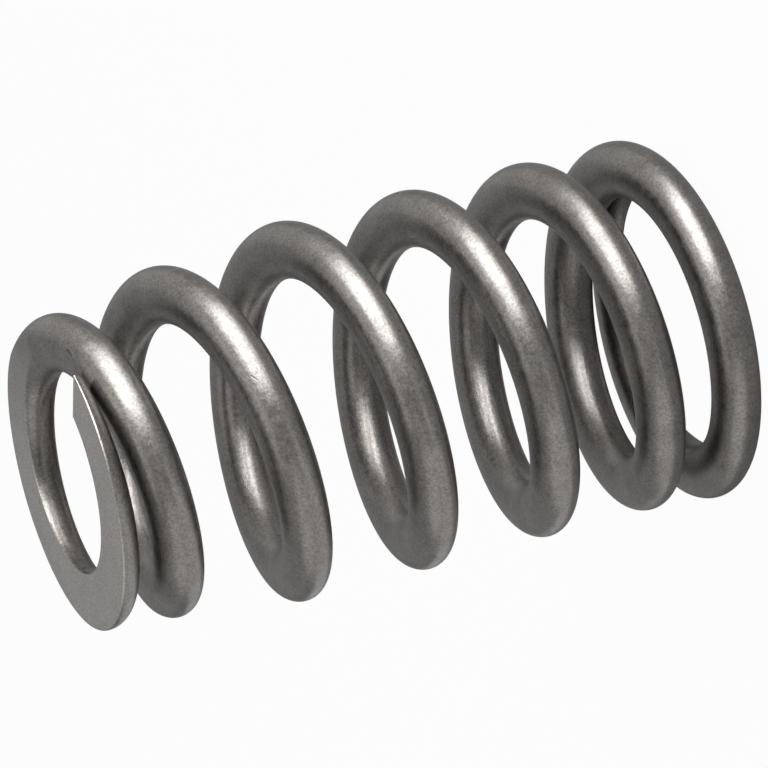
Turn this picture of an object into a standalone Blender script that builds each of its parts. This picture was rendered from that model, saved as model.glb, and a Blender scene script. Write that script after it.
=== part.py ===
# Engine valve spring of the beehive kind, modelled in metres with +Z up.
# One oval steel wire is wound right-handed. Its lower coils are straight, its upper ones
# draw in to a small end, and both ends are closed and ground flat. The spring stands on
# its large end, with its axis on Z and the cut end of the lowest coil at +X.

import math

import bmesh
import bpy
from mathutils import Vector

# Sizes across and along the spring
BASE_DIAMETER = 0.0290  # over the straight lower coils
TOP_DIAMETER = 0.0241  # over the smallest coil, under the retainer
FREE_LENGTH = 0.0529  # between the two ground faces

# The wire, and what grinding leaves of its thickness at the two cut ends
WIRE_WIDTH = 0.0045  # measured across the spring
WIRE_HEIGHT = 0.00376  # measured along it
TIP_THICKNESS = 0.0012
TIP_GAP = 0.0001  # between each cut end and the coil that it closes on
TOP_CUT_SKEW = 9  # degrees, how far the cut at the top leans off the radius

# Winding, in coils counted from the nearer cut end
TOTAL_COILS = 6.8
BASE_CLOSING = 1.86  # the base coils open out over this
TOP_CLOSING = 1.88  # and the top coils over this
DAMPER_RATIO = 0.849  # pitch of the tighter coils above the base, as a share of the active pitch
DAMPER_END = 1.96  # up to here they keep that pitch
DAMPER_FADE = 0.9  # and over this they open out to the active pitch
TAPER_START = 0.64  # below the top, where the coils begin to widen
TAPER_END = 2.76  # below the top, where they have their full size

# What spring-back and heat treatment left of the wound shape
BASE_FLARE = 0.00047  # how far the base tip stands out of its coil's circle
FLARE_LENGTH = 1.3  # coils from the base tip over which that eases away
BOW = 0.00053  # how far the axis stands off its straight line at half height
BOW_HEADING = 31  # degrees anticlockwise from +X, the side that bulges

# Fineness of the mesh
STATIONS_PER_COIL = 32
SECTION_POINTS = 20
GRIND_SNAP = 0.000001  # points nearer than this to a ground face are put on it

STEEL_COLOUR = (0.30, 0.285, 0.275, 1)
STEEL_ROUGHNESS = 0.38
SHARP_ANGLE = 40  # degrees between faces, over which an edge shows as a corner

BASE_RADIUS = (BASE_DIAMETER - WIRE_WIDTH) / 2  # to the middle of the wire
TOP_RADIUS = (TOP_DIAMETER - WIRE_WIDTH) / 2
CLOSED_PITCH = WIRE_HEIGHT + TIP_GAP  # brings a coil, one turn on, just clear of the cut end
BOW_CURVATURE = 8 * BOW / FREE_LENGTH**2


def ease(value, ramp):
    """Rises from 0 at 0 to 1 at the end of the ramp, level at both."""
    share = min(max(value / ramp, 0), 1)
    return share * share * (3 - 2 * share)


def ease_area(value, ramp):
    """Area under ease from 0 up to this value."""
    share = min(max(value / ramp, 0), 1)
    return ramp * (share**3 - share**4 / 2) + max(value - ramp, 0)


def pitch_shares(coil):
    """The pitch here as a share of the active pitch, and a share of the closed pitch to add."""
    top_hold = (1 - ease(TOTAL_COILS - coil, TOP_CLOSING)) / (1 - ease_area(1, TOP_CLOSING))
    base_hold = (1 - ease(coil, BASE_CLOSING)) / (1 - ease_area(1, BASE_CLOSING))
    damper_hold = 1 - ease(coil - DAMPER_END, DAMPER_FADE)
    active = 1 - top_hold - DAMPER_RATIO * base_hold - (1 - DAMPER_RATIO) * damper_hold
    return active, top_hold + base_hold


def climb_shares(coil):
    """The same two shares summed from the base tip up to this coil."""
    below_top = TOTAL_COILS - coil
    top_climb = coil + ease_area(below_top, TOP_CLOSING) - ease_area(TOTAL_COILS, TOP_CLOSING)
    top_hold = top_climb / (1 - ease_area(1, TOP_CLOSING))
    base_hold = (coil - ease_area(coil, BASE_CLOSING)) / (1 - ease_area(1, BASE_CLOSING))
    damper_hold = coil - ease_area(coil - DAMPER_END, DAMPER_FADE)
    active = coil - top_hold - DAMPER_RATIO * base_hold - (1 - DAMPER_RATIO) * damper_hold
    return active, top_hold + base_hold


def radius_at(coil):
    """Radius to the middle of the wire, drawn in towards the top and flared at the base tip."""
    taper = ease(TOTAL_COILS - coil - TAPER_START, TAPER_END - TAPER_START)
    flare = BASE_FLARE * (1 - ease(coil, FLARE_LENGTH))
    return TOP_RADIUS + (BASE_RADIUS - TOP_RADIUS) * taper + flare


def bowed(point):
    """Moves a point of the straight spring to its place in the bowed one."""
    heading = math.radians(BOW_HEADING)
    bulge = Vector((math.cos(heading), math.sin(heading), 0))
    from_middle = point.z - FREE_LENGTH / 2
    lift = from_middle * BOW_CURVATURE * point.dot(bulge)
    return point + bulge * (BOW - BOW_CURVATURE * from_middle**2 / 2) + Vector((0, 0, lift))


def height_before_bow(coil, height):
    """Height of the wire in the straight spring which the bow brings to this height."""
    heading = 2 * math.pi * coil - math.radians(BOW_HEADING)
    slope = BOW_CURVATURE * radius_at(coil) * math.cos(heading)
    return (height + slope * FREE_LENGTH / 2) / (1 + slope)


def oval_section(coil, height, pitch, skew):
    """The wire's section at this coil, upright and along the radius unless it is skewed."""
    radius = radius_at(coil)
    half_height = WIRE_HEIGHT / 2 * math.hypot(1, pitch / (2 * math.pi * radius))
    points = []
    for i in range(SECTION_POINTS):
        angle = 2 * math.pi * i / SECTION_POINTS
        out = radius + WIRE_WIDTH / 2 * math.cos(angle)
        up = height + half_height * math.sin(angle)
        turn = 2 * math.pi * coil + math.tan(skew) * (out - radius) / out
        points.append(bowed(Vector((out * math.cos(turn), out * math.sin(turn), up))))
    return points


def wind_wire():
    """The wound wire before grinding: oval sections joined along the helix, with flat cut ends."""
    start = height_before_bow(0, TIP_THICKNESS - WIRE_HEIGHT / 2)
    end = height_before_bow(TOTAL_COILS, FREE_LENGTH - TIP_THICKNESS + WIRE_HEIGHT / 2)
    active, closed = climb_shares(TOTAL_COILS)
    active_pitch = (end - start - closed * CLOSED_PITCH) / active
    bm = bmesh.new()
    rings = []
    stations = round(TOTAL_COILS * STATIONS_PER_COIL)
    for i in range(stations + 1):
        coil = TOTAL_COILS * i / stations
        active, closed = climb_shares(coil)
        height = start + active * active_pitch + closed * CLOSED_PITCH
        active, closed = pitch_shares(coil)
        pitch = active * active_pitch + closed * CLOSED_PITCH
        skew = math.radians(TOP_CUT_SKEW) if i == stations else 0
        rings.append([bm.verts.new(point) for point in oval_section(coil, height, pitch, skew)])
    for lower, upper in zip(rings, rings[1:]):
        for i in range(SECTION_POINTS):
            j = (i + 1) % SECTION_POINTS
            bm.faces.new((lower[i], lower[j], upper[j], upper[i]))
    bm.faces.new(rings[0][::-1])
    bm.faces.new(rings[-1])
    bmesh.ops.recalc_face_normals(bm, faces=bm.faces)
    return bm


def grind_flat(bm, height, outward):
    """Takes off what stands past this height and closes the cut with one flat face."""
    cut = bmesh.ops.bisect_plane(
        bm,
        geom=bm.verts[:] + bm.edges[:] + bm.faces[:],
        dist=GRIND_SNAP,
        plane_co=(0, 0, height),
        plane_no=(0, 0, outward),
        clear_outer=True,
    )
    rim = [item for item in cut["geom_cut"] if isinstance(item, bmesh.types.BMEdge)]
    bmesh.ops.holes_fill(bm, edges=rim, sides=0)


def spring_steel():
    material = bpy.data.materials.new("spring_steel")
    material.use_nodes = True
    shader = material.node_tree.nodes["Principled BSDF"]
    shader.inputs["Base Color"].default_value = STEEL_COLOUR
    shader.inputs["Roughness"].default_value = STEEL_ROUGHNESS
    shader.inputs["Metallic"].default_value = 1
    return material


def make_valve_spring():
    bm = wind_wire()
    grind_flat(bm, 0, -1)
    grind_flat(bm, FREE_LENGTH, 1)
    mesh = bpy.data.meshes.new("valve_spring")
    bm.to_mesh(mesh)
    bm.free()
    mesh.shade_smooth()
    mesh.set_sharp_from_angle(angle=math.radians(SHARP_ANGLE))
    mesh.materials.append(spring_steel())
    bpy.context.scene.collection.objects.link(bpy.data.objects.new("valve_spring", mesh))


for thing in list(bpy.data.objects):
    bpy.data.objects.remove(thing)
make_valve_spring()
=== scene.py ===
import math

import bpy
from mathutils import Euler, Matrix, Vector


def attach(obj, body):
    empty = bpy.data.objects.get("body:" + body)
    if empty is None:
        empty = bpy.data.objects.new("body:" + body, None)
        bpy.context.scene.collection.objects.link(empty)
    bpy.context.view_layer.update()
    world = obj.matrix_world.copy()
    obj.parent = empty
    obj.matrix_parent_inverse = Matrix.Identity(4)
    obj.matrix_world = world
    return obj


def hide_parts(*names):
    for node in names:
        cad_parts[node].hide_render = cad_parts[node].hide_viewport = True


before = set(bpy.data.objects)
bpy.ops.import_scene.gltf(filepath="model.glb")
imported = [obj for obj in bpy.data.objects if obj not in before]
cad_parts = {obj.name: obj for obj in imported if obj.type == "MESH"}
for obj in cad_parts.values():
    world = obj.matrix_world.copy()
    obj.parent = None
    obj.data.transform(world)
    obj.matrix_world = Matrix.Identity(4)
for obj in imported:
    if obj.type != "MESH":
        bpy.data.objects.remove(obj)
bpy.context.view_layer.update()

# What the spring is wound to. Lengths in metres, coils counted from the nearer cut end.
spring = {
    "Base Diameter": 0.0290,
    "Top Diameter": 0.0241,
    "Free Length": 0.0529,
    "Wire Width": 0.0045,
    "Wire Height": 0.00376,
    "Tip Thickness": 0.0012,  # what grinding leaves at a cut end
    "Tip Gap": 0.0001,  # from a cut end to the coil that it closes on
    "Top Cut Skew": math.tan(math.radians(9)),  # how far the cut leans off the radius
    "Coils": 6.8,
    "Base Closing": 1.86,  # the base coils open out over this
    "Top Closing": 1.88,  # and the top coils over this
    "Damper Ratio": 0.849,  # pitch of the tighter coils above the base, against the active pitch
    "Damper End": 1.96,  # up to here they keep that pitch
    "Damper Fade": 0.9,  # and over this they open out to the active pitch
    "Taper Start": 0.64,  # below the top, where the coils begin to widen
    "Taper End": 2.76,  # below the top, where they have their full size
    "Base Flare": 0.00047,  # how far the base tip stands out of its coil's circle
    "Flare Length": 1.3,  # coils over which that eases away
    "Bow": 0.00053,  # how far the axis stands off its straight line at half height
    "Bow Heading": math.radians(31),  # the side that bulges, round from +X
    "Skewed Coils": 0.03,  # the skewed cut at the top reaches this far down
    "Broken Edge": 0.00006,  # rubbed off the corners of the ground faces
    "Ground Fade": 0.0012,  # a ground face shows fully where it was cut this deep
}
stationCount = 1080  # rows along the wire
sectionPoints = 88  # points round it
flatPoints = 7  # of those, how many lie between the middle of a ground face and its rim
closingRows = 2  # rows at each end that close the cut
sharpAngle = math.radians(25)
joinDistance = 0.000001  # points nearer than this become one
rowNudge = 0.001  # keeps the count of rows clear of rounding
patternCoil = 2  # a full-size coil, whose radius measures the streaks' way along the wire


# a value in a node tree that plain arithmetic works on
class Field:
    def __init__(self, tree, socket):
        self.tree = tree
        self.socket = socket

    def work(self, operation, *values, clamp=False):
        node = self.tree.nodes.new("ShaderNodeMath")
        node.operation = operation
        node.use_clamp = clamp
        for place, value in zip(node.inputs, values):
            plug(self.tree, value, place)
        return Field(self.tree, node.outputs[0])

    def __add__(self, other):
        return self.work("ADD", self, other)

    def __radd__(self, other):
        return self.work("ADD", other, self)

    def __sub__(self, other):
        return self.work("SUBTRACT", self, other)

    def __rsub__(self, other):
        return self.work("SUBTRACT", other, self)

    def __mul__(self, other):
        return self.work("MULTIPLY", self, other)

    def __rmul__(self, other):
        return self.work("MULTIPLY", other, self)

    def __truediv__(self, other):
        return self.work("DIVIDE", self, other)

    def clamped(self):
        return self.work("ADD", self, 0, clamp=True)

    def atMost(self, other):
        return self.work("MINIMUM", self, other)

    def atLeast(self, other):
        return self.work("MAXIMUM", self, other)

    def below(self, other):
        return self.work("LESS_THAN", self, other)

    def roundedDown(self):
        return self.work("FLOOR", self)

    def withoutSign(self):
        return self.work("ABSOLUTE", self)

    def sign(self):
        return self.work("SIGN", self)

    def root(self):
        return self.work("SQRT", self.atLeast(0))

    def sine(self):
        return self.work("SINE", self)

    def cosine(self):
        return self.work("COSINE", self)

    def arcCosine(self):
        return self.work("ARCCOSINE", self.atLeast(-1).atMost(1))


def plug(tree, value, place):
    if isinstance(value, Field):
        tree.links.new(value.socket, place)
    else:
        place.default_value = value


def choose(condition, whenTrue, whenFalse):
    return whenFalse + (whenTrue - whenFalse) * condition


def newTree(name, inputs, outputs):
    tree = bpy.data.node_groups.new(name, "GeometryNodeTree")
    for label in inputs:
        tree.interface.new_socket(label, in_out="INPUT", socket_type="NodeSocketFloat")
    for label, kind in outputs:
        tree.interface.new_socket(label, in_out="OUTPUT", socket_type=kind)
    source = tree.nodes.new("NodeGroupInput")
    return tree, {label: Field(tree, source.outputs[label]) for label in inputs}


def finishTree(tree, results):
    sink = tree.nodes.new("NodeGroupOutput")
    for label, value in results.items():
        plug(tree, value, sink.inputs[label])


def useGroup(tree, group, values):
    node = tree.nodes.new("GeometryNodeGroup")
    node.node_tree = group
    for label, value in values.items():
        plug(tree, value, node.inputs[label])
    return [Field(tree, socket) for socket in node.outputs]


# the winding rule, as three small groups
def makeEaseGroup():
    # rises from 0 to 1 over the ramp, level at both ends, and gives the area under it too
    floatKind = "NodeSocketFloat"
    tree, take = newTree("easeUp", ["Value", "Ramp"], [("Level", floatKind), ("Area", floatKind)])
    share = (take["Value"] / take["Ramp"]).clamped()
    level = share * share * (3 - 2 * share)
    area = take["Ramp"] * share * share * share * (1 - share * 0.5)
    beyond = (take["Value"] - take["Ramp"]).atLeast(0)
    finishTree(tree, {"Level": level, "Area": area + beyond})
    return tree


def makeClimbGroup(easeGroup):
    # how much of the active pitch and of the closed pitch the wire has climbed, and climbs here
    labels = ["Coil", "Coils", "Base Closing", "Top Closing"]
    labels += ["Damper Ratio", "Damper End", "Damper Fade"]
    results = ["Active Climb", "Closed Climb", "Active Pitch", "Closed Pitch"]
    tree, take = newTree("wireClimb", labels, [(label, "NodeSocketFloat") for label in results])

    def ease(value, ramp):
        return useGroup(tree, easeGroup, {"Value": value, "Ramp": ramp})

    coil, ratio = take["Coil"], take["Damper Ratio"]
    fromTop = take["Coils"] - coil
    topLevel, topArea = ease(fromTop, take["Top Closing"])
    baseLevel, baseArea = ease(coil, take["Base Closing"])
    damperLevel, damperArea = ease(coil - take["Damper End"], take["Damper Fade"])
    topRest = 1 - ease(1, take["Top Closing"])[1]
    baseRest = 1 - ease(1, take["Base Closing"])[1]
    wholeArea = ease(take["Coils"], take["Top Closing"])[1]
    topClimb = (coil + topArea - wholeArea) / topRest
    baseClimb = (coil - baseArea) / baseRest
    topPitch = (1 - topLevel) / topRest
    basePitch = (1 - baseLevel) / baseRest
    finishTree(tree, {
        "Active Climb": coil - topClimb - ratio * baseClimb - (1 - ratio) * (coil - damperArea),
        "Closed Climb": topClimb + baseClimb,
        "Active Pitch": 1 - topPitch - ratio * basePitch - (1 - ratio) * (1 - damperLevel),
        "Closed Pitch": topPitch + basePitch,
    })
    return tree


def makeRadiusGroup(easeGroup):
    # radius to the middle of the wire
    labels = ["Coil", "Coils", "Base Diameter", "Top Diameter", "Wire Width"]
    labels += ["Taper Start", "Taper End", "Base Flare", "Flare Length"]
    tree, take = newTree("coilRadius", labels, [("Radius", "NodeSocketFloat")])
    fromTop = take["Coils"] - take["Coil"] - take["Taper Start"]
    ramp = take["Taper End"] - take["Taper Start"]
    taper = useGroup(tree, easeGroup, {"Value": fromTop, "Ramp": ramp})[0]
    flare = useGroup(tree, easeGroup, {"Value": take["Coil"], "Ramp": take["Flare Length"]})[0]
    smallest = (take["Top Diameter"] - take["Wire Width"]) / 2
    widening = (take["Base Diameter"] - take["Top Diameter"]) / 2
    finishTree(tree, {"Radius": smallest + widening * taper + take["Base Flare"] * (1 - flare)})
    return tree


# the wound, ground spring
def makeSpringTree(material):
    easeGroup = makeEaseGroup()
    climbGroup = makeClimbGroup(easeGroup)
    radiusGroup = makeRadiusGroup(easeGroup)
    tree, take = newTree("windSpring", list(spring), [("Geometry", "NodeSocketGeometry")])
    coils, length = take["Coils"], take["Free Length"]

    def groupAt(group, coil):
        labels = [item.name for item in group.interface.items_tree if item.in_out == "INPUT"]
        values = {label: take[label] for label in labels if label != "Coil"}
        return useGroup(tree, group, {"Coil": coil, **values})

    def radiusAt(coil):
        return groupAt(radiusGroup, coil)[0]

    # rows and columns of the grid that becomes the wire's skin
    columns = sectionPoints + 1
    grid = tree.nodes.new("GeometryNodeMeshGrid")
    grid.inputs["Vertices X"].default_value = stationCount
    grid.inputs["Vertices Y"].default_value = columns
    index = Field(tree, tree.nodes.new("GeometryNodeInputIndex").outputs[0])
    row = (index / columns + rowNudge).roundedDown()
    column = index - row * columns

    # of the rows that close a cut, the outer one is its middle and the inner one its broken edge
    radiusTop = radiusAt(coils)
    edge = take["Broken Edge"]
    edgeCoils = edge / (2 * math.pi * radiusTop)
    lastRow = stationCount - 1
    along = ((row - closingRows) / (lastRow - 2 * closingRows)).clamped()
    atStart = row.below(closingRows - 0.5)
    atEnd = 1 - row.below(lastRow - closingRows + 0.5)
    middle = row.below(0.5) + 1 - row.below(lastRow - 0.5)
    coil = edgeCoils + (coils - 2 * edgeCoils) * along + edgeCoils * (atEnd - atStart)
    halfWidth = take["Wire Width"] / 2
    shrink = (1 - middle) * (1 - (atStart + atEnd) * edge / halfWidth)

    # height of the wire, solved from both ground planes through the bow
    curvature = 8 * take["Bow"] / (length * length)

    def tiltAt(reach, at):
        return curvature * reach * (2 * math.pi * at - take["Bow Heading"]).cosine()

    def beforeBow(reach, at, height):
        tilt = tiltAt(reach, at)
        return (height + tilt * length / 2) / (1 + tilt)

    closed = take["Wire Height"] + take["Tip Gap"]
    sunk = take["Wire Height"] / 2 - take["Tip Thickness"]
    startHeight = beforeBow(radiusAt(0), 0, -1 * sunk)
    endHeight = beforeBow(radiusTop, coils, length + sunk)
    wholeActive, wholeClosed = groupAt(climbGroup, coils)[:2]
    activePitch = (endHeight - startHeight - wholeClosed * closed) / wholeActive
    activeClimb, closedClimb, activeSlope, closedSlope = groupAt(climbGroup, coil)
    height = startHeight + activeClimb * activePitch + closedClimb * closed
    pitch = activeSlope * activePitch + closedSlope * closed
    radius = radiusAt(coil)
    slope = pitch / (2 * math.pi * radius)
    halfHeight = take["Wire Height"] / 2 * (1 + slope * slope).root()

    # points round the section, counted from its lowest one up to its highest on both sides
    highest = sectionPoints // 2
    count = (column - highest).withoutSign()
    side = (column - highest).sign()
    outerTurn = math.pi * (flatPoints + 1) / highest
    flatStep = math.pi / 2 / flatPoints
    least = halfWidth * math.sin(math.pi * flatPoints / highest)
    lowPlane = beforeBow(radius, coil, 0)
    highPlane = beforeBow(radius, coil, length)
    lowDepth = ((lowPlane - height) / halfHeight).atLeast(-1).atMost(1)
    highDepth = ((highPlane - height) / halfHeight).atLeast(-1).atMost(1)
    lowRim = (halfWidth * (1 - lowDepth * lowDepth).root() - edge).atLeast(least)
    highRim = (halfWidth * (1 - highDepth * highDepth).root() - edge).atLeast(least)
    lowTurn = ((height - lowPlane - edge) / halfHeight).arcCosine().atLeast(outerTurn)
    highTurn = ((highPlane - edge - height) / halfHeight).arcCosine().atLeast(outerTurn)
    lowReach = lowRim * (count * flatStep).atMost(math.pi / 2).sine()
    highReach = highRim * ((highest - count) * flatStep).atMost(math.pi / 2).sine()
    share = ((count - flatPoints - 1) / (highest - 2 * flatPoints - 2)).clamped()
    turn = lowTurn + (math.pi - lowTurn - highTurn) * share
    isLow = count.below(flatPoints + 0.5)
    isHigh = 1 - count.below(highest - flatPoints - 0.5)
    reach = choose(isLow, lowReach, choose(isHigh, highReach, halfWidth * turn.sine()))
    cap = halfHeight * (1 - reach * reach / (halfWidth * halfWidth)).root()
    out = radius + side * reach
    lowHeight = (height - cap).atLeast(beforeBow(out, coil, 0))
    highHeight = (height + cap).atMost(beforeBow(out, coil, length))
    sideHeight = height - halfHeight * turn.cosine()
    up = choose(isLow, lowHeight, choose(isHigh, highHeight, sideHeight))

    # the cut ends draw in to their middles
    seen = (height + halfHeight).atMost(highPlane) + (height - halfHeight).atLeast(lowPlane)
    up = seen / 2 + (up - seen / 2) * shrink
    out = radius + (out - radius) * shrink

    # how far each point belongs to a ground face, fading where the grinding runs out
    lowCut = ((lowPlane - height + halfHeight) / take["Ground Fade"]).clamped()
    highCut = ((height + halfHeight - highPlane) / take["Ground Fade"]).clamped()
    groundShare = isLow * lowCut + isHigh * highCut

    # round the axis, bowed, and the ground faces made exactly flat
    nearTop = 1 - ((coils - coil) / take["Skewed Coils"]).clamped()
    lean = take["Top Cut Skew"] * (out - radius) / out * nearTop
    angle = 2 * math.pi * coil + lean
    fromMiddle = up - length / 2
    bulge = take["Bow"] - curvature * fromMiddle * fromMiddle / 2
    heading = take["Bow Heading"]
    lift = fromMiddle * curvature * out * (angle - heading).cosine()
    place = tree.nodes.new("ShaderNodeCombineXYZ")
    plug(tree, out * angle.cosine() + bulge * heading.cosine(), place.inputs["X"])
    plug(tree, out * angle.sine() + bulge * heading.sine(), place.inputs["Y"])
    plug(tree, (up + lift).atLeast(0).atMost(length), place.inputs["Z"])

    # the way along the wire and across it, which the drawing streaks follow
    path = tree.nodes.new("ShaderNodeCombineXYZ")
    plug(tree, 2 * math.pi * coil * radiusAt(patternCoil), path.inputs["X"])
    plug(tree, out - radius, path.inputs["Y"])
    plug(tree, up - height, path.inputs["Z"])

    link = tree.links.new

    def keep(geometry, label, kind, value):
        store = tree.nodes.new("GeometryNodeStoreNamedAttribute")
        store.data_type = kind
        store.inputs["Name"].default_value = label
        link(geometry, store.inputs["Geometry"])
        link(value, store.inputs["Value"])
        return store.outputs["Geometry"]

    skin = keep(grid.outputs["Mesh"], "wirePath", "FLOAT_VECTOR", path.outputs[0])
    skin = keep(skin, "groundShare", "FLOAT", groundShare.socket)
    move = tree.nodes.new("GeometryNodeSetPosition")
    link(skin, move.inputs["Geometry"])
    link(place.outputs[0], move.inputs["Position"])
    merge = tree.nodes.new("GeometryNodeMergeByDistance")
    merge.inputs["Distance"].default_value = joinDistance
    link(move.outputs["Geometry"], merge.inputs["Geometry"])
    smooth = tree.nodes.new("GeometryNodeSetShadeSmooth")
    link(merge.outputs["Geometry"], smooth.inputs["Geometry"])
    realize = tree.nodes.new("GeometryNodeRealizeInstances")
    link(smooth.outputs["Geometry"], realize.inputs["Geometry"])
    setSteel = tree.nodes.new("GeometryNodeSetMaterial")
    setSteel.inputs["Material"].default_value = material
    link(realize.outputs["Geometry"], setSteel.inputs["Geometry"])
    finishTree(tree, {"Geometry": Field(tree, setSteel.outputs["Geometry"])})
    return tree


# parts that the materials share
def newMaterial(name):
    material = bpy.data.materials.new(name)
    material.use_nodes = True
    tree = material.node_tree
    return material, tree, tree.nodes["Principled BSDF"]


def greyOf(level):
    return (level, level, level, 1)


def attributeOn(tree, name):
    node = tree.nodes.new("ShaderNodeAttribute")
    node.attribute_name = name
    return node


def noiseOn(tree, coordinate, values):
    mapping = tree.nodes.new("ShaderNodeMapping")
    mapping.inputs["Scale"].default_value = values["stretch"]
    tree.links.new(coordinate, mapping.inputs["Vector"])
    noise = tree.nodes.new("ShaderNodeTexNoise")
    noise.inputs["Scale"].default_value = values["scale"]
    noise.inputs["Detail"].default_value = values["detail"]
    noise.inputs["Roughness"].default_value = values["rough"]
    tree.links.new(mapping.outputs[0], noise.inputs["Vector"])
    return noise.outputs["Fac"]


def rampOn(tree, value, span, tones):
    # goes from the first tone to the second while the value crosses the span
    ramp = tree.nodes.new("ShaderNodeValToRGB")
    for element, position, tone in zip(ramp.color_ramp.elements, span, tones):
        element.position = position
        element.color = (*tone, 1) if isinstance(tone, tuple) else greyOf(tone)
    tree.links.new(value, ramp.inputs[0])
    return ramp.outputs[0]


shareIn, firstIn, secondIn, mixOut = 0, 6, 7, 2  # the colour sockets of a Mix node


def blendOf(tree, kind, share, first, second):
    mix = tree.nodes.new("ShaderNodeMix")
    mix.data_type = "RGBA"
    mix.blend_type = kind
    for place, value in ((shareIn, share), (firstIn, first), (secondIn, second)):
        if isinstance(value, (tuple, float)):
            mix.inputs[place].default_value = value
        else:
            tree.links.new(value, mix.inputs[place])
    return mix.outputs[mixOut]


def bumpOn(tree, height, strength, depth, before):
    bump = tree.nodes.new("ShaderNodeBump")
    bump.inputs["Strength"].default_value = strength
    bump.inputs["Distance"].default_value = depth
    tree.links.new(height, bump.inputs["Height"])
    if before:
        tree.links.new(before, bump.inputs["Normal"])
    return bump.outputs[0]


# Colours are linear. Spans are the noise values over which a tone or roughness changes.
steel = {
    "peenedTones": ((0.243, 0.229, 0.217), (0.313, 0.296, 0.281)),
    "groundTones": ((0.49, 0.468, 0.448), (0.55, 0.528, 0.506)),
    # dark of the nicks and scratches, also used as painted shade in the crease where the tip
    # touches
    "nickAndShadeColour": (0.07, 0.065, 0.06, 1),
    "peenedRough": (0.3, 0.4),
    "groundRough": 0.42,
    "middleSpan": (0.3, 0.7),
    "grainTones": (0.6, 1.3),
    "grainShare": 0.7,
    "pitSpan": (0.64, 0.76),
    "pitTones": (1.0, 0.8),
    "streakBump": (0.2, 0.00006),  # strength, and depth in metres
    "dimpleBump": (0.2, 0.00006),
    "grainBump": (0.3, 0.00003),
    "markBump": (0.4, 0.00004),
    "grain": {"scale": 5200, "detail": 2, "rough": 0.6, "stretch": (1, 1, 1)},
    "pits": {"scale": 3000, "detail": 1, "rough": 0.5, "stretch": (1, 1, 1)},
    "dimples": {"scale": 1700, "detail": 1, "rough": 0.5, "stretch": (1, 1, 1)},
    "mottle": {"scale": 420, "detail": 3, "rough": 0.55, "stretch": (1, 1, 1)},
    "streaks": {"scale": 1, "detail": 2, "rough": 0.5, "stretch": (250, 2200, 2200)},
}

# small nicks and scratches, and one line of painted shade in the crease where the top tip touches
# the next coil; each from one place to another and as wide as twice its radius
nicksAndCreaseShade = [
    ((-0.00606, 0.00447, 0.0526), (-0.00598, 0.00475, 0.0521), 0.00013),
    ((0.00956, -0.00608, 0.0221), (0.0090, -0.00738, 0.0221), 0.00007),
    ((0.00482, -0.01333, 0.0092), (0.00478, -0.01323, 0.0090), 0.0001),
    ((0.00698, -0.01278, 0.0027), (0.00688, -0.01281, 0.0026), 0.0001),
    ((-0.0009, -0.01195, 0.0043), (-0.00127, -0.01157, 0.0042), 0.00012),
    ((-0.0064, -0.01159, 0.0040), (-0.0068, -0.01135, 0.0040), 0.00007),
    ((-0.00027, -0.01334, 0.0407), (-0.00072, -0.01345, 0.0404), 0.00008),
    ((0.00678, -0.00864, 0.0519), (0.00614, -0.00895, 0.0518), 0.00012),
    ((0.00119, 0.00821, 0.0529), (0.00094, 0.00844, 0.0529), 0.00009),
    ((0.00808, -0.01063, 0.0420), (0.00789, -0.01076, 0.0420), 0.0001),
    ((0.0043, -0.00953, 0.0517), (0.00301, -0.00996, 0.0515), 0.0004),  # painted shade in the crease where the tip touches the next coil
]


def markOn(tree, place, start, end, radius):
    # 1 on the line of the mark, falling to 0 at its sides
    def work(operation, first, second):
        node = tree.nodes.new("ShaderNodeVectorMath")
        node.operation = operation
        for socket, value in zip(node.inputs, (first, second)):
            if isinstance(value, bpy.types.NodeSocket):
                tree.links.new(value, socket)
            else:
                socket.default_value = value
        return node

    reach = Vector(end) - Vector(start)
    offset = work("SUBTRACT", place, start).outputs["Vector"]
    share = work("DOT_PRODUCT", offset, reach / reach.length_squared).outputs["Value"]
    nearest = tree.nodes.new("ShaderNodeVectorMath")
    nearest.operation = "SCALE"
    nearest.inputs["Vector"].default_value = reach
    plug(tree, Field(tree, share).clamped(), nearest.inputs["Scale"])
    gap = work("DISTANCE", offset, nearest.outputs["Vector"]).outputs["Value"]
    return (1 - Field(tree, gap) / radius).clamped()


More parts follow.
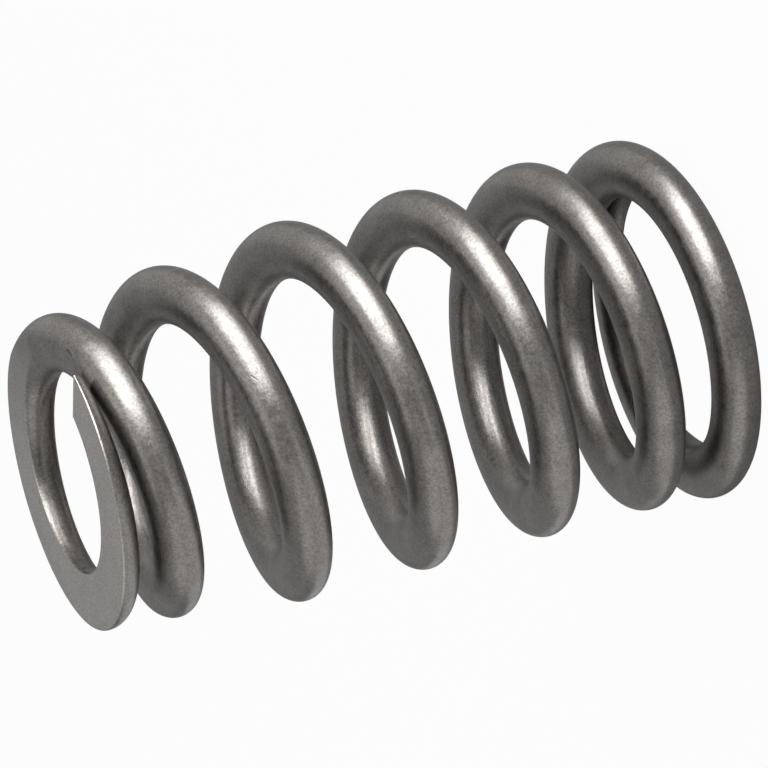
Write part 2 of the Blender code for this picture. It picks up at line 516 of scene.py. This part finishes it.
def springSteel():
    # shot-peened wire, whose ground ends are lighter
    material, tree, shader = newMaterial("springSteel")
    place = tree.nodes.new("ShaderNodeTexCoord").outputs["Object"]
    wirePath = attributeOn(tree, "wirePath").outputs["Vector"]
    isGround = attributeOn(tree, "groundShare").outputs["Fac"]
    grain = noiseOn(tree, place, steel["grain"])
    pits = noiseOn(tree, place, steel["pits"])
    dimples = noiseOn(tree, place, steel["dimples"])
    mottle = noiseOn(tree, place, steel["mottle"])
    streaks = noiseOn(tree, wirePath, steel["streaks"])
    middle = steel["middleSpan"]

    peened = rampOn(tree, mottle, middle, steel["peenedTones"])
    ground = rampOn(tree, mottle, middle, steel["groundTones"])
    grainTone = rampOn(tree, grain, middle, steel["grainTones"])
    pitTone = rampOn(tree, pits, steel["pitSpan"], steel["pitTones"])
    base = blendOf(tree, "MIX", isGround, peened, ground)
    base = blendOf(tree, "MULTIPLY", steel["grainShare"], base, grainTone)
    base = blendOf(tree, "MULTIPLY", 1.0, base, pitTone)
    # mask of the nicks and scratches and of the painted crease shade where the tip touches
    nickAndShadeMask = markOn(tree, place, *nicksAndCreaseShade[0])
    for mark in nicksAndCreaseShade[1:]:
        nickAndShadeMask = nickAndShadeMask.atLeast(markOn(tree, place, *mark))
    # darkens the nicks and scratches, and paints shade into the crease where the tip touches the
    # next coil
    base = blendOf(tree, "MIX", nickAndShadeMask.socket, base, steel["nickAndShadeColour"])
    tree.links.new(base, shader.inputs["Base Color"])
    shader.inputs["Metallic"].default_value = 1

    rough = rampOn(tree, dimples, middle, steel["peenedRough"])
    rough = blendOf(tree, "MIX", isGround, rough, greyOf(steel["groundRough"]))
    tree.links.new(rough, shader.inputs["Roughness"])

    bumped = bumpOn(tree, streaks, *steel["streakBump"], None)
    bumped = bumpOn(tree, dimples, *steel["dimpleBump"], bumped)
    bumped = bumpOn(tree, grain, *steel["grainBump"], bumped)
    bumped = bumpOn(tree, (1 - nickAndShadeMask).socket, *steel["markBump"], bumped)
    tree.links.new(bumped, shader.inputs["Normal"])
    return material


def windSpring():
    tree = makeSpringTree(springSteel())
    thing = bpy.data.objects.new("beehiveSpring", bpy.data.meshes.new("beehiveSpring"))
    bpy.context.scene.collection.objects.link(thing)
    modifier = thing.modifiers.new("windSpring", "NODES")
    modifier.node_group = tree
    for item in tree.interface.items_tree:
        if item.in_out == "INPUT":
            modifier[item.identifier] = float(spring[item.name])
    graph = bpy.context.evaluated_depsgraph_get()
    wound = thing.evaluated_get(graph)
    mesh = bpy.data.meshes.new_from_object(wound, preserve_all_data_layers=True, depsgraph=graph)
    thing.modifiers.clear()
    thing.data = mesh
    mesh.name = "beehiveSpring"
    mesh.set_sharp_from_angle(angle=sharpAngle)
    print("spring wound:", len(mesh.vertices), "points,", len(mesh.polygons), "faces")
    return thing


surroundings = {
    "skyLevel": 0.3,  # brightness of the world round the spring, where 1 shows white
    "whiteInView": 0.97,  # share of plain white in what the camera sees
    "whiteInSteel": 0.1,  # and in what the steel reflects
    "paper": 0.3,  # grey of the floor under that white
    "paperRough": 0.9,
    "floorReach": 4.0,  # metres from the spring to each side
}


def whiteShare(tree):
    # how far plain white takes over from the floor or the sky
    rays = tree.nodes.new("ShaderNodeLightPath")
    inView = Field(tree, rays.outputs["Is Camera Ray"]) * surroundings["whiteInView"]
    glossy = Field(tree, rays.outputs["Is Glossy Ray"])
    through = Field(tree, rays.outputs["Is Transmission Ray"])
    return inView.atLeast(glossy.atLeast(through) * surroundings["whiteInSteel"])


def mixWhite(tree, own, white):
    mix = tree.nodes.new("ShaderNodeMixShader")
    plug(tree, whiteShare(tree), mix.inputs[0])
    tree.links.new(own.outputs[0], mix.inputs[1])
    tree.links.new(white.outputs[0], mix.inputs[2])
    return mix.outputs[0]


def floorPaper():
    # pale ground that keeps a faint shadow of the spring
    material, tree, shader = newMaterial("floorPaper")
    shader.inputs["Base Color"].default_value = greyOf(surroundings["paper"])
    shader.inputs["Roughness"].default_value = surroundings["paperRough"]
    glow = tree.nodes.new("ShaderNodeEmission")
    glow.inputs["Color"].default_value = greyOf(1)
    glow.inputs["Strength"].default_value = 1
    surface = tree.nodes["Material Output"].inputs["Surface"]
    tree.links.new(mixWhite(tree, shader, glow), surface)
    return material


def layFloor():
    reach = surroundings["floorReach"]
    mesh = bpy.data.meshes.new("floorSheet")
    corners = [(-reach, -reach, 0), (reach, -reach, 0), (reach, reach, 0), (-reach, reach, 0)]
    mesh.from_pydata(corners, [], [(0, 1, 2, 3)])
    mesh.materials.append(floorPaper())
    floor = bpy.data.objects.new("floorSheet", mesh)
    bpy.context.scene.collection.objects.link(floor)
    return floor


def setWorld():
    world = bpy.data.worlds.new("studioWorld")
    bpy.context.scene.world = world
    world.use_nodes = True
    tree = world.node_tree
    sky = tree.nodes["Background"]
    sky.inputs["Color"].default_value = greyOf(1)
    sky.inputs["Strength"].default_value = surroundings["skyLevel"]
    white = tree.nodes.new("ShaderNodeBackground")
    white.inputs["Color"].default_value = greyOf(1)
    white.inputs["Strength"].default_value = 1
    tree.links.new(mixWhite(tree, sky, white), tree.nodes["World Output"].inputs["Surface"])


# Soft boxes round the spring. Heading is in degrees round the axis from +X, and distance runs
# from the axis. Turned 90 a box stands and faces the spring, turned 180 it lies face up, and
# at 0 it hangs face down. Level is the brightness of its face, where 1 shows white.
lamps = {
    "key": {
        "heading": -58, "distance": 0.2, "height": 0.131, "turn": 90,
        "size": (0.22, 0.26), "level": 4.8,
    },
    "low": {
        "heading": -52, "distance": 0.14, "height": 0.0005, "turn": 180,
        "size": (0.14, 0.1), "level": 2.0,
    },
    "side": {
        "heading": 8, "distance": 0.25, "height": 0.151, "turn": 90,
        "size": (0.4, 0.3), "level": 0.25,
    },
    "fill": {
        "heading": 175, "distance": 0.25, "height": 0.121, "turn": 90,
        "size": (0.4, 0.24), "level": 0.5,
    },
    "under": {
        "heading": 175, "distance": 0.13, "height": 0.0005, "turn": 180,
        "size": (0.3, 0.2), "level": 0.45,
    },
    "top": {
        "heading": -50, "distance": 0.05, "height": 0.35, "turn": 0,
        "size": (0.3, 0.3), "level": 0.7,
    },
}


def setLamps():
    for name, values in lamps.items():
        lamp = bpy.data.lights.new(name + "Box", "AREA")
        lamp.shape = "RECTANGLE"
        lamp.size, lamp.size_y = values["size"]
        lamp.energy = math.pi * lamp.size * lamp.size_y * values["level"]
        box = bpy.data.objects.new(name + "Box", lamp)
        heading = math.radians(values["heading"])
        reach = values["distance"]
        box.location = (reach * math.cos(heading), reach * math.sin(heading), values["height"])
        box.rotation_euler = (math.radians(values["turn"]), 0, heading + math.pi / 2)
        box.visible_camera = False
        bpy.context.scene.collection.objects.link(box)


camera = {
    "place": (-0.0933118, -0.3055583, 0.1434432),
    "turn": (-34.71614, 65.20385, -144.44398),  # degrees
    "lens": 205.9365,  # millimetres
    "sensorWidth": 36,
    "nearest": 0.01,  # metres
}


def setCamera():
    data = bpy.data.cameras.new("photoCamera")
    data.sensor_width = camera["sensorWidth"]
    data.lens = camera["lens"]
    data.clip_start = camera["nearest"]
    view = bpy.data.objects.new("photoCamera", data)
    bpy.context.scene.collection.objects.link(view)
    view.location = camera["place"]
    view.rotation_euler = Euler([math.radians(angle) for angle in camera["turn"]])
    bpy.context.scene.camera = view
    bpy.context.scene.view_settings.view_transform = "Standard"


setCamera()
setLamps()
setWorld()
print("camera and lights set")
wire = windSpring()
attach(wire, "root")
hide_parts("valve_spring")
layFloor()
print("floor laid")
